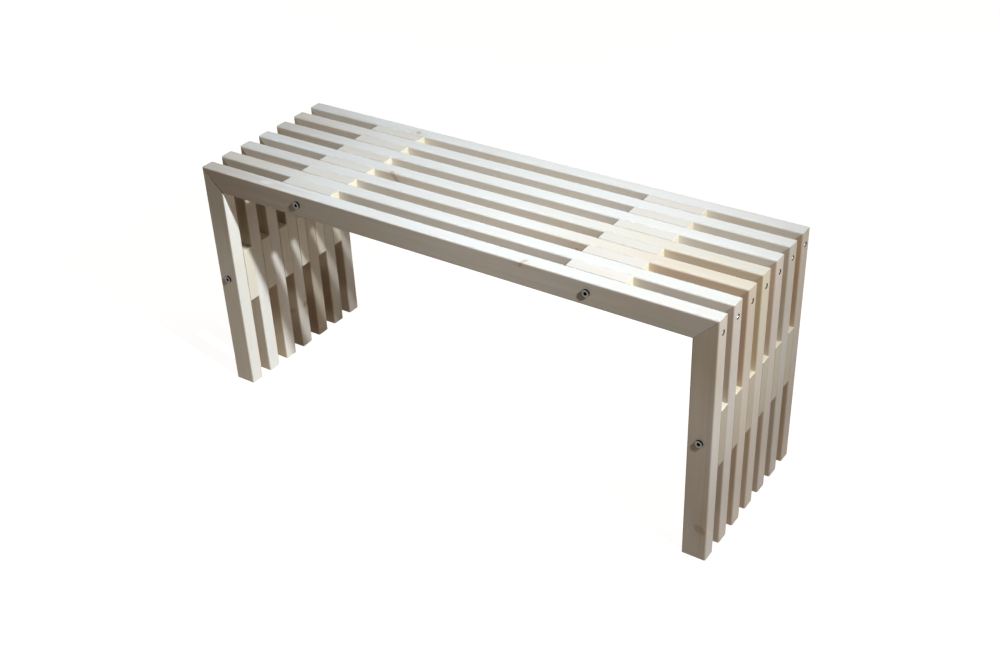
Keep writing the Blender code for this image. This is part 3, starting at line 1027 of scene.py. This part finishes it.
# Knots by their board: a point on the board's face, the knot's radius and how far it leans along the board
Knot = namedtuple("Knot", "place radius lean")
KNOTS = {
    "right_leg_1": Knot((0.487, -0.1605, 0.060), 0.0075, 0.4),
    "seat_slat_1": Knot((0.166, -0.1605, 0.445), 0.0030, 0.6),
    "seat_slat_3": Knot((0.208, -0.0625, 0.434), 0.0035, 0.6),
    "seat_slat_4": Knot((-0.188, -0.0135, 0.445), 0.0050, -0.9),
    "seat_slat_7": Knot((-0.249, 0.1424, 0.450), 0.0048, 0.7),
    "left_leg_4": Knot((-0.474, -0.0135, 0.080), 0.0055, 0.4),
    "leg_spacer_right_4": Knot((0.500, 0.0240, 0.174), 0.0040, 0.6),
}

# Painted highlights, by their board: a ragged spot where the board's tints, painted shade among them, are
# left off, so that it shows lighter, as a knock in the front edge catching the light
PAINTED_HIGHLIGHTS = {"seat_slat_1": (-0.357, -0.149, 0.450)}
NOWHERE = (9.0, 9.0, 9.0)

# Draws for a board: how far its pith lies from it, how far along the pith it was cut, how much its grain
# slopes and the seed of its noise
PITH_NEAR, PITH_FAR = 0.035, 0.120
PITH_SHIFT = 5.0
GRAIN_SLOPE = 0.012
MOST_SEED = 50.0

# The one mitre that has opened: the front frame's left one
OPEN_MITRE = (1, "left")
OPEN_MITRE_SLANT = 1.018


def board_luck(node, timber):
    """The random draws of one board, which are the same in every run."""
    return random.Random(f"{timber.seed} {node}")


ATTRIBUTE_FIELDS = {"FLOAT": "value", "FLOAT_VECTOR": "vector", "FLOAT_COLOR": "color"}


def store(mesh, name, kind, values):
    """Stores a value for each point of a mesh."""
    layer = mesh.attributes.new(name, kind, "POINT")
    layer.data.foreach_set(ATTRIBUTE_FIELDS[kind], np.asarray(values, np.float32).ravel())


def store_same(mesh, name, kind, value):
    """Stores the same value for all the points of a mesh."""
    store(mesh, name, kind, np.tile(np.asarray(value, np.float32), len(mesh.vertices)))


def mark_board(obj, node, timber):
    """Stores what the timber's materials read: place in the stick, grain about the pith, knot and tints."""
    mesh = obj.data
    luck = board_luck(node, timber)
    count = len(mesh.vertices)
    stick = np.empty(count * 3, np.float32)
    mesh.vertices.foreach_get("co", stick)
    stick = stick.reshape(count, 3)

    turn, distance = luck.uniform(0.0, math.tau), luck.uniform(PITH_NEAR, PITH_FAR)
    shift = luck.uniform(-PITH_SHIFT, PITH_SHIFT)
    pith = np.array((shift, distance * math.cos(turn), distance * math.sin(turn)))
    slope = np.array((0.0, *[luck.uniform(-GRAIN_SLOPE, GRAIN_SLOPE) for _ in range(2)]))

    def grain_at(points):
        return points + pith + points[..., :1] * slope

    store(mesh, "stick", "FLOAT_VECTOR", stick)
    store(mesh, "grain", "FLOAT_VECTOR", grain_at(stick))

    to_stick = obj.matrix_world.inverted()
    branch = (0.0, 0.0, 0.0, 0.0)
    if node in KNOTS:
        knot = KNOTS[node]
        along, y, z = grain_at(np.array(to_stick @ Vector(knot.place)))
        branch = (along - knot.lean * math.hypot(y, z), math.atan2(z, y), knot.radius, knot.lean)
    store_same(mesh, "knot", "FLOAT_COLOR", branch)
    # Centre of the painted highlight spot, where there is one
    patch = to_stick @ Vector(PAINTED_HIGHLIGHTS[node]) if node in PAINTED_HIGHLIGHTS else NOWHERE
    store_same(mesh, "patch", "FLOAT_VECTOR", patch)

    row, _, _ = node.rpartition("_")
    plain = even([level + luck.uniform(0.0, PLAIN_TINT) for level in ROW_TINTS.get(row, BARE)])
    # The tints hold painted shade as well as the board's own tone.
    tones = {"tone": TINTS.get(node, plain), "side_tone": SIDE_TINTS.get(node, even(BARE))}
    for name, tint in tones.items():
        for number, shares in enumerate(tint, 1):
            store_same(mesh, f"{name}_{number}", "FLOAT_VECTOR", shares)
    store_same(mesh, "half", "FLOAT", stick[:, 0].max())
    store_same(mesh, "seed", "FLOAT", luck.uniform(0.0, MOST_SEED))


def new_stick(node, place, inputs, cutters):
    """A stick in its place, with its holes still to be worked in."""
    stick = new_object(node + "_wood", bpy.data.meshes.new(node), place)
    add_tree(stick, tree_named("Timber stick", stick_tree), inputs)
    for cutter in cutters:
        cut(stick, cutter)
    return stick


def finish_sticks(sticks, slot, timber):
    """Works in the holes, marks the grain and hands the sticks over as pieces."""
    made = list(sticks.values())
    work_in(made)
    for node, stick in sticks.items():
        mark_board(stick, node, timber)
        put_in_place(stick)
    soften(made)
    for node, stick in sticks.items():
        hand_over(stick, slot, node)


def mitre_cut(timber, opened, painted_hollow_shade):
    """Settings of a mitred end."""
    if not opened:
        return {"Round": timber.mitre_round, "Trim": timber.mitre_gap / 2 * math.sqrt(2), "Mitre": 1.0}
    trim = timber.open_mitre_gap / 2 * math.sqrt(2)
    # The opened mitre's face is near black: painted shade in the gap.
    return {"Round": timber.open_mitre_round, "Trim": trim, "Mitre": OPEN_MITRE_SLANT, "Face": painted_hollow_shade}


def at_end(end, settings):
    """Settings under the names that a stick's inputs have for one of its ends."""
    return {f"{end} {name}": value for name, value in settings.items()}


class BENCH_OT_frames(bpy.types.Operator):
    """Build the seven mitred frames: a seat slat and two legs each, drilled for rods, nuts and screws"""

    bl_idname = "bench.frames"
    bl_label = "Frames"

    def execute(self, context):
        timber, steel = context.scene.bench_timber, context.scene.bench_steel
        materials = bench_materials(context.scene.bench_finish)
        # Holes and the opened mitre are lined with near black: painted shade.
        painted_hollow_shade = materials["bored_pine"]
        bores = {row: row_holes(row, steel, painted_hollow_shade) for row in ROWS}
        holes = {}
        for number in range(1, FRAME_COUNT + 1):
            for side_name, side in SIDES:
                leg = f"{side_name}_leg_{number}"
                holes[leg] = screw_hole(leg, side, steel, painted_hollow_shade)

        wood = {
            "Thickness": SLAT_THICKNESS,
            "Width": SLAT_WIDTH,
            "Arris Round": timber.arris_round,
            "Arris Segments": timber.arris_segments,
            "Face": materials["limed_pine"],
            "Start Face": materials["sawn_pine"],
            "End Face": materials["sawn_pine"],
        }
        sticks = {}
        for number in range(1, FRAME_COUNT + 1):
            slat = f"seat_slat_{number}"
            slat_inputs = {**wood, "Length": 2 * HALF_LENGTH}
            slat_holes = [holes[f"{side_name}_leg_{number}"] for side_name, _ in SIDES]
            for (side_name, _), end in zip(SIDES, ("Start", "End")):
                mitre = mitre_cut(timber, (number, side_name) == OPEN_MITRE, painted_hollow_shade)
                slat_inputs.update(at_end(end, mitre))
                slat_holes.append(bores[f"seat_{side_name}"][number - 1])

                leg = f"{side_name}_leg_{number}"
                leg_inputs = {**wood, **at_end("End", mitre)}
                leg_inputs.update({"Start Round": timber.foot_round, "Length": LEG_LENGTH})
                leg_holes = [bores[f"leg_{side_name}"][number - 1], holes[leg]]
                place = Matrix.Translation(node_middle(leg)) @ STANDING[side_name].to_4x4()
                sticks[leg] = new_stick(leg, place, leg_inputs, leg_holes)
            place = Matrix.Translation((0, node_middle(slat).y, SEAT_HEIGHT - SLAT_WIDTH / 2))
            sticks[slat] = new_stick(slat, place, slat_inputs, slat_holes)
        finish_sticks(sticks, "planed_pine", timber)
        remove_objects({cutter for row in bores.values() for cutter in row} | set(holes.values()))
        return {"FINISHED"}


class BENCH_OT_spacers(bpy.types.Operator):
    """Build the blocks that hold the frames apart, in four rows on the tie rods"""

    bl_idname = "bench.spacers"
    bl_label = "Spacers"

    def execute(self, context):
        timber, steel = context.scene.bench_timber, context.scene.bench_steel
        materials = bench_materials(context.scene.bench_finish)
        wood = {
            "Length": SPACER_LENGTH,
            "Thickness": FRAME_SPACE - 2 * timber.spacer_gap,
            "Width": SPACER_WIDTH,
            "Arris Round": timber.spacer_round,
            "Arris Segments": timber.arris_segments,
            "Start Round": timber.spacer_round,
            "End Round": timber.spacer_round,
            "Face": materials["limed_spacer"],
        }
        # The leg spacers' sawn ends are lighter than the seat spacers': painted light.
        ends = {"seat": materials["sawn_pine"], "leg": materials["fresh_pine"]}
        sticks, bores = {}, []
        for row in ROWS:
            group, side_name = row.split("_")
            wood["Start Face"] = wood["End Face"] = ends[group]
            turn = LYING if group == "seat" else STANDING[side_name]
            bores.append(rod_bore(row, steel, materials["bored_pine"]))
            for number in range(1, FRAME_COUNT):
                node = f"{group}_spacer_{side_name}_{number}"
                drop = board_luck(node + " drop", timber).uniform(0.0, timber.spacer_drop)
                sunk = Matrix.Translation((0, 0, -drop))
                place = Matrix.Translation(node_middle(node)) @ turn.to_4x4() @ sunk
                sticks[node] = new_stick(node, place, wood, bores[-1:])
        finish_sticks(sticks, "spacer_pine", timber)
        remove_objects(bores)
        return {"FINISHED"}


# Steel


class BENCH_OT_tie_rods(bpy.types.Operator):
    """Build the four threaded rods that hold frames and spacers together"""

    bl_idname = "bench.tie_rods"
    bl_label = "Tie rods"

    def execute(self, context):
        steel = context.scene.bench_steel
        materials = bench_materials(context.scene.bench_finish)
        inputs = {
            "Radius": ROD_SIZE.x / 2,
            "Depth": steel.thread_depth,
            "Pitch": steel.thread_pitch,
            "Length": ROD_SIZE.y,
            "Sides": ROD_SIDES,
            "Material": materials["zinc"],
        }
        rods = {}
        for row in ROWS:
            node = f"tie_rod_{row}"
            place = Matrix.Translation(node_middle(node)) @ facing_out(1)
            rods[node] = new_object(node + "_thread", bpy.data.meshes.new(node), place)
            add_tree(rods[node], tree_named("Thread", thread_tree), inputs)
        work_in(list(rods.values()))
        for node, rod in rods.items():
            put_in_place(rod)
            hand_over(rod, "zinc_plated_steel", node)
        return {"FINISHED"}


def shoulder(radius, height, rounding):
    """Half section of a rounded edge, from the top face of a turned piece to its side."""
    turns = [math.pi / 2 * step / SHOULDER_STEPS for step in range(SHOULDER_STEPS + 1)]
    return [
        (radius - rounding * (1 - math.sin(turn)), height - rounding * (1 - math.cos(turn))) for turn in turns
    ]


def nut_profile(steel):
    """Half section of a sleeve nut, in heights from the underside of its head."""
    head, sleeve, thread = NUT_SIZE.x / 2, steel.nut_sleeve / 2, steel.nut_thread / 2
    edge = steel.nut_edge
    end = steel.nut_head - NUT_SIZE.y
    thread_top = steel.nut_head - steel.nut_socket_depth - steel.nut_socket_floor
    return [
        (0, steel.nut_head),
        *shoulder(head, steel.nut_head, steel.nut_head_round),
        (head, edge),
        (head - edge, 0),
        (sleeve, 0),
        (sleeve, end + edge),
        (sleeve - edge, end),
        (thread, end),
        (thread, thread_top),
        (0, thread_top),
    ]


def prism_mesh(name, sections):
    """A prism along Z: rings of points, each a height with its outline, closed at both ends."""
    shape = bmesh.new()
    rings = [[shape.verts.new((x, y, height)) for x, y in outline] for height, outline in sections]
    for lower, upper in zip(rings, rings[1:]):
        for step in range(len(lower)):
            after = (step + 1) % len(lower)
            shape.faces.new((lower[step], lower[after], upper[after], upper[step]))
    shape.faces.new(rings[0])
    shape.faces.new(rings[-1])
    return outward_mesh(name, shape)


def hexagon(across_flats):
    radius = across_flats / 2 / math.cos(math.pi / HEX_SIDES)
    turns = [math.tau * step / HEX_SIDES for step in range(HEX_SIDES)]
    return [(radius * math.cos(turn), radius * math.sin(turn)) for turn in turns]


# Faces whose normal has less than this along a nut's axis are its sides.
NUT_SIDEWAYS = 0.9


def paint_reflection_on_head(mesh, dark):
    """Gives the dark material to the side of a nut's head: a painted dark reflection, as if it mirrored a
    dark room.
    """
    mesh.materials.append(dark)
    slot = len(mesh.materials) - 1
    for face in mesh.polygons:
        if face.center.z > 0.0 and abs(face.normal.z) < NUT_SIDEWAYS:
            face.material_index = slot


class BENCH_OT_sleeve_nuts(bpy.types.Operator):
    """Build the round-headed nuts that close on the ends of the tie rods"""

    bl_idname = "bench.sleeve_nuts"
    bl_label = "Sleeve nuts"

    def execute(self, context):
        timber, steel = context.scene.bench_timber, context.scene.bench_steel
        materials = bench_materials(context.scene.bench_finish)
        outline = hexagon(steel.nut_socket)
        heights = (steel.nut_head - steel.nut_socket_depth, steel.nut_head + CUT_MARGIN)
        socket = new_object("nut_socket", prism_mesh("nut_socket", [(height, outline) for height in heights]))
        # The socket's walls take the black steel: painted shade.
        socket.data.materials.append(materials["socket_steel"])
        nut = new_object("nut", turned_mesh("nut", nut_profile(steel), NUT_SIDES))
        nut.data.materials.append(materials["zinc"])
        paint_reflection_on_head(nut.data, materials["socket_steel"])
        cut(nut, socket)
        work_in([nut])
        nuts = {}
        for row in ROWS:
            for face_name, face in FACES:
                node = f"{face_name}_nut_{row}"
                spun = Matrix.Rotation(board_luck(node, timber).uniform(0, math.tau), 4, "Z")
                place = nut_place(node, face, HALF_DEPTH + steel.nut_gap) @ spun
                nuts[node] = new_object(node + "_turned", nut.data.copy(), place)
                put_in_place(nuts[node])
        soften(list(nuts.values()))
        for node, made in nuts.items():
            hand_over(made, "zinc_plated_steel", node)
        remove_objects([nut, socket])
        return {"FINISHED"}


# Half section of a corner screw. The dome of its head is insets from the rim with drops from the top.
SCREW_DOME = ((0.0016, 0.00015), (0.0006, 0.0005), (0.0001, 0.0011), (0.0, 0.0018))
SCREW_EDGE = 0.0002
SCREW_FILLET = 0.0003
SCREW_SEAT_GAP = 0.0001
SHANK_RADIUS = 0.0021
SHANK_PAST_MITRE = 0.003

# Cross recess: the arm and half the thickness of its outline at its floor and at the top of its cutter
RECESS_DEPTH, RECESS_FLOOR = 0.0020, (0.0011, 0.0004)
RECESS_MARGIN, RECESS_TOP = 0.001, (0.0027, 0.0007)

SCREW_THREAD = {"Radius": 0.00225, "Depth": 0.00075, "Pitch": 0.0022, "Point": 0.006, "Sides": 12}


def cross(arm, thickness):
    """Outline of a cross recess."""
    corner = [(arm, -thickness), (arm, thickness), (thickness, thickness)]
    outline = []
    for quarter in range(4):
        turn = Matrix.Rotation(quarter * math.pi / 2, 2)
        outline += [tuple(turn @ Vector(place)) for place in corner]
    return outline


def screw_profile(steel, shank_end):
    """Half section of a corner screw's head and shank, in heights from the leg's outer face."""
    head, top = steel.screw_head / 2, -steel.screw_sunk
    seat = SCREW_SEAT_GAP - steel.screw_hole_depth
    return [
        (0, top),
        *[(head - inset, top - drop) for inset, drop in SCREW_DOME],
        (head, seat + SCREW_EDGE),
        (head - SCREW_EDGE, seat),
        (SHANK_RADIUS + SCREW_FILLET, seat),
        (SHANK_RADIUS, seat - SCREW_FILLET),
        (SHANK_RADIUS, shank_end),
        (0, shank_end),
    ]


class BENCH_OT_corner_screws(bpy.types.Operator):
    """Build the screws that close the mitres, sunk in the outer faces of the legs"""

    bl_idname = "bench.corner_screws"
    bl_label = "Corner screws"

    def execute(self, context):
        timber, steel = context.scene.bench_timber, context.scene.bench_steel
        zinc = bench_materials(context.scene.bench_finish)["screw_zinc"]
        top, shank_end = -steel.screw_sunk, -steel.screw_drop - SHANK_PAST_MITRE
        screw_mesh = turned_mesh("corner_screw", screw_profile(steel, shank_end), SCREW_SIDES)
        screw = new_object("corner_screw", screw_mesh)
        sections = [(top - RECESS_DEPTH, cross(*RECESS_FLOOR)), (top + RECESS_MARGIN, cross(*RECESS_TOP))]
        recess = new_object("cross_recess", prism_mesh("cross_recess", sections))
        cut(screw, recess)
        thread_length = steel.screw_length + shank_end + top
        place = Matrix.Translation((0, 0, shank_end - thread_length / 2))
        thread = new_object("screw_thread", bpy.data.meshes.new("screw_thread"), place)
        thread_inputs = {**SCREW_THREAD, "Length": thread_length, "Material": zinc}
        add_tree(thread, tree_named("Thread", thread_tree), thread_inputs)
        work_in([screw, thread])
        put_in_place(thread)
        whole_screw = bmesh.new()
        for part in (screw, thread):
            whole_screw.from_mesh(part.data)
        whole_screw.to_mesh(screw.data)
        whole_screw.free()

        screws = new_object("corner_screws", bpy.data.meshes.new("corner_screws"))
        inputs = {
            "Screw": screw,
            "Count": FRAME_COUNT,
            "Pitch": FRAME_PITCH,
            "Half Length": HALF_LENGTH,
            "Height": SEAT_HEIGHT - steel.screw_drop,
            "Seed": timber.seed,
            "Material": zinc,
        }
        add_tree(screws, tree_named("Screw set", screw_set_tree), inputs)
        work_in([screws])
        soften([screws])
        hand_over(screws, "zinc_plated_steel")
        remove_objects([screw, recess, thread])
        return {"FINISHED"}


# Stage

WHITE = (1.0, 1.0, 1.0, 1.0)
FLOOR_ROUGHNESS = 0.9


def white_to_the_eye(tree):
    """1 for what the camera sees, straight or in a reflection or through glass, and 0 for other light."""
    path = add_node(tree, "ShaderNodeLightPath").outputs
    mirrored = maths("MAXIMUM", Value(path["Is Glossy Ray"]), Value(path["Is Transmission Ray"]))
    return maths("MAXIMUM", Value(path["Is Camera Ray"]), mirrored)


def floor_material(stage):
    """A matt floor that shows as white where light falls on it, and a little darker in the shadow."""
    tree, shader = new_material("floor")
    shader.inputs["Base Color"].default_value = opaque(stage.floor)
    shader.inputs["Roughness"].default_value = FLOOR_ROUGHNESS
    glow = white_to_the_eye(tree) * stage.floor_glow
    white = put(tree, "ShaderNodeEmission", {"Color": WHITE, "Strength": glow})
    lit = put(tree, "ShaderNodeAddShader", {0: Value(shader.outputs[0]), 1: white})
    send(tree.nodes["Material Output"].inputs, {"Surface": lit})
    return bpy.data.materials["floor"]


def stage_world(scene, stage):
    """Even light all round, and white where the camera looks past the floor."""
    world = bpy.data.worlds.new("Stage")
    world.use_nodes = True
    tree = world.node_tree
    ambient = tree.nodes["Background"]
    ambient.inputs["Color"].default_value = opaque(stage.sky_colour)
    ambient.inputs["Strength"].default_value = stage.sky
    white = put(tree, "ShaderNodeBackground", {"Color": WHITE, "Strength": 1.0})
    mix_inputs = {0: white_to_the_eye(tree), 1: Value(ambient.outputs[0]), 2: white}
    send(tree.nodes["World Output"].inputs, {"Surface": put(tree, "ShaderNodeMixShader", mix_inputs)})
    scene.world = world


def stage_floor(stage):
    shape = bmesh.new()
    bmesh.ops.create_grid(shape, x_segments=1, y_segments=1, size=stage.floor_size / 2)
    mesh = bpy.data.meshes.new("floor")
    shape.to_mesh(mesh)
    shape.free()
    mesh.materials.append(floor_material(stage))
    new_object("floor", mesh)


def new_lamp(name, kind, place, aim, energy, tint):
    data = bpy.data.lights.new(name, kind)
    data.energy = energy
    data.color = tint
    turn = (Vector(aim) - Vector(place)).to_track_quat("-Z", "Y").to_matrix().to_4x4()
    new_object(name, data, Matrix.Translation(place) @ turn)
    return data


def stage_lamps(stage):
    """A lamp that throws the shadows, and two wide soft ones, behind and at the right."""
    lamp = new_lamp("lamp", "SPOT", stage.lamp, stage.lamp_aim, stage.lamp_power, stage.lamp_colour)
    lamp.shadow_soft_size = stage.lamp_radius
    lamp.spot_size = stage.lamp_beam
    lamp.spot_blend = 1.0
    fill = new_lamp("fill", "AREA", stage.fill, stage.fill_aim, stage.fill_power, stage.fill_colour)
    side = new_lamp("side", "AREA", stage.side, stage.side_aim, stage.side_power, stage.side_colour)
    for soft in (fill, side):
        soft.size = stage.soft_size


def stage_camera(scene, stage):
    data = bpy.data.cameras.new("camera")
    data.lens = stage.lens
    data.sensor_fit = "HORIZONTAL"
    camera = new_object("camera", data)
    turn = Matrix.Rotation(stage.azimuth, 4, "Z") @ Matrix.Rotation(math.pi / 2 - stage.elevation, 4, "X")
    camera.matrix_world = Matrix.Translation(stage.eye) @ turn @ Matrix.Rotation(stage.roll, 4, "Z")
    scene.camera = camera


class BENCH_OT_stage(bpy.types.Operator):
    """Set up the white floor, the lamps, the even light and the camera"""

    bl_idname = "bench.stage"
    bl_label = "Stage"

    def execute(self, context):
        scene, stage = context.scene, context.scene.bench_stage
        scene.view_settings.view_transform = "Standard"
        stage_floor(stage)
        stage_world(scene, stage)
        stage_lamps(stage)
        stage_camera(scene, stage)
        return {"FINISHED"}


# Add-on

OPERATORS = (
    BENCH_OT_frames,
    BENCH_OT_spacers,
    BENCH_OT_tie_rods,
    BENCH_OT_sleeve_nuts,
    BENCH_OT_corner_screws,
    BENCH_OT_stage,
)
SETTINGS = {
    "bench_timber": BenchTimber,
    "bench_steel": BenchSteel,
    "bench_finish": BenchFinish,
    "bench_stage": BenchStage,
}


class BENCH_PT_sidebar(bpy.types.Panel):
    """Lists the pieces of the bench and their settings"""

    bl_label = "Slatted outdoor bench"
    bl_idname = "BENCH_PT_sidebar"
    bl_space_type = "VIEW_3D"
    bl_region_type = "UI"
    bl_category = "Bench"

    def draw(self, context):
        for operator in OPERATORS:
            self.layout.operator(operator.bl_idname)
        for name, group in SETTINGS.items():
            box = self.layout.box()
            for setting in group.__annotations__:
                box.prop(getattr(context.scene, name), setting)


CLASSES = (*SETTINGS.values(), *OPERATORS, BENCH_PT_sidebar)


def register():
    for each in CLASSES:
        bpy.utils.register_class(each)
    for name, group in SETTINGS.items():
        setattr(bpy.types.Scene, name, PointerProperty(type=group))


def unregister():
    for name in SETTINGS:
        delattr(bpy.types.Scene, name)
    for each in reversed(CLASSES):
        bpy.utils.unregister_class(each)


def main():
    register()
    bpy.ops.bench.frames()
    bpy.ops.bench.spacers()
    bpy.ops.bench.tie_rods()
    bpy.ops.bench.sleeve_nuts()
    bpy.ops.bench.corner_screws()
    bpy.ops.bench.stage()


if __name__ == "__main__":
    main()
